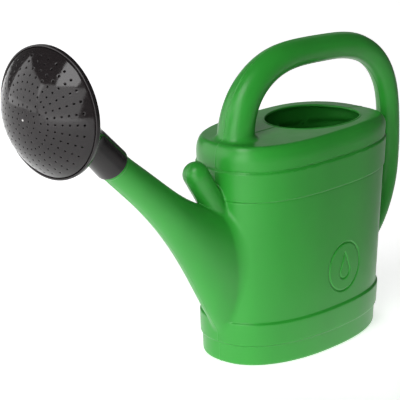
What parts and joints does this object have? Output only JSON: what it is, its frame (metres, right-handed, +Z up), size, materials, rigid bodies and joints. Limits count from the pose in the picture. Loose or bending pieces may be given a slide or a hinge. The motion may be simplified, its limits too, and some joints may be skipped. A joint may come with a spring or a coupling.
{
  "type": "watering can",
  "caption": "Oval garden watering can with a tapered spout, a loop handle over the filling mouth, a peg for storing the rose and a large domed sprinkler rose that turns on the spout.",
  "frame": {"origin": "centre of the tank's flat base, on the surface the can stands on", "axes": "+Z up; the spout points to -X and the handle's rear leg to +X; y = 0 is the plane of symmetry"},
  "size_m": [0.5584, 0.1306, 0.3711],
  "materials": {
    "green_plastic": "satin blow-moulded polyethylene, grass green, with a faint grain and a fine parting line",
    "black_plastic": "glossy injection-moulded polypropylene, black"
  },
  "bodies": {
    "can": {"tank": "green_plastic", "spout": "green_plastic", "handle": "green_plastic", "rose_peg": "green_plastic"},
    "rose": {"rose_shell": "black_plastic", "rose_face": "black_plastic"}
  },
  "joints": [
    {"name": "rose_twist", "type": "hinge", "parent": "can", "child": "rose", "pos_m": [-0.2678, 0, 0.2439], "axis": [-0.7254, 0, 0.6884], "continuous": true}
  ]
}
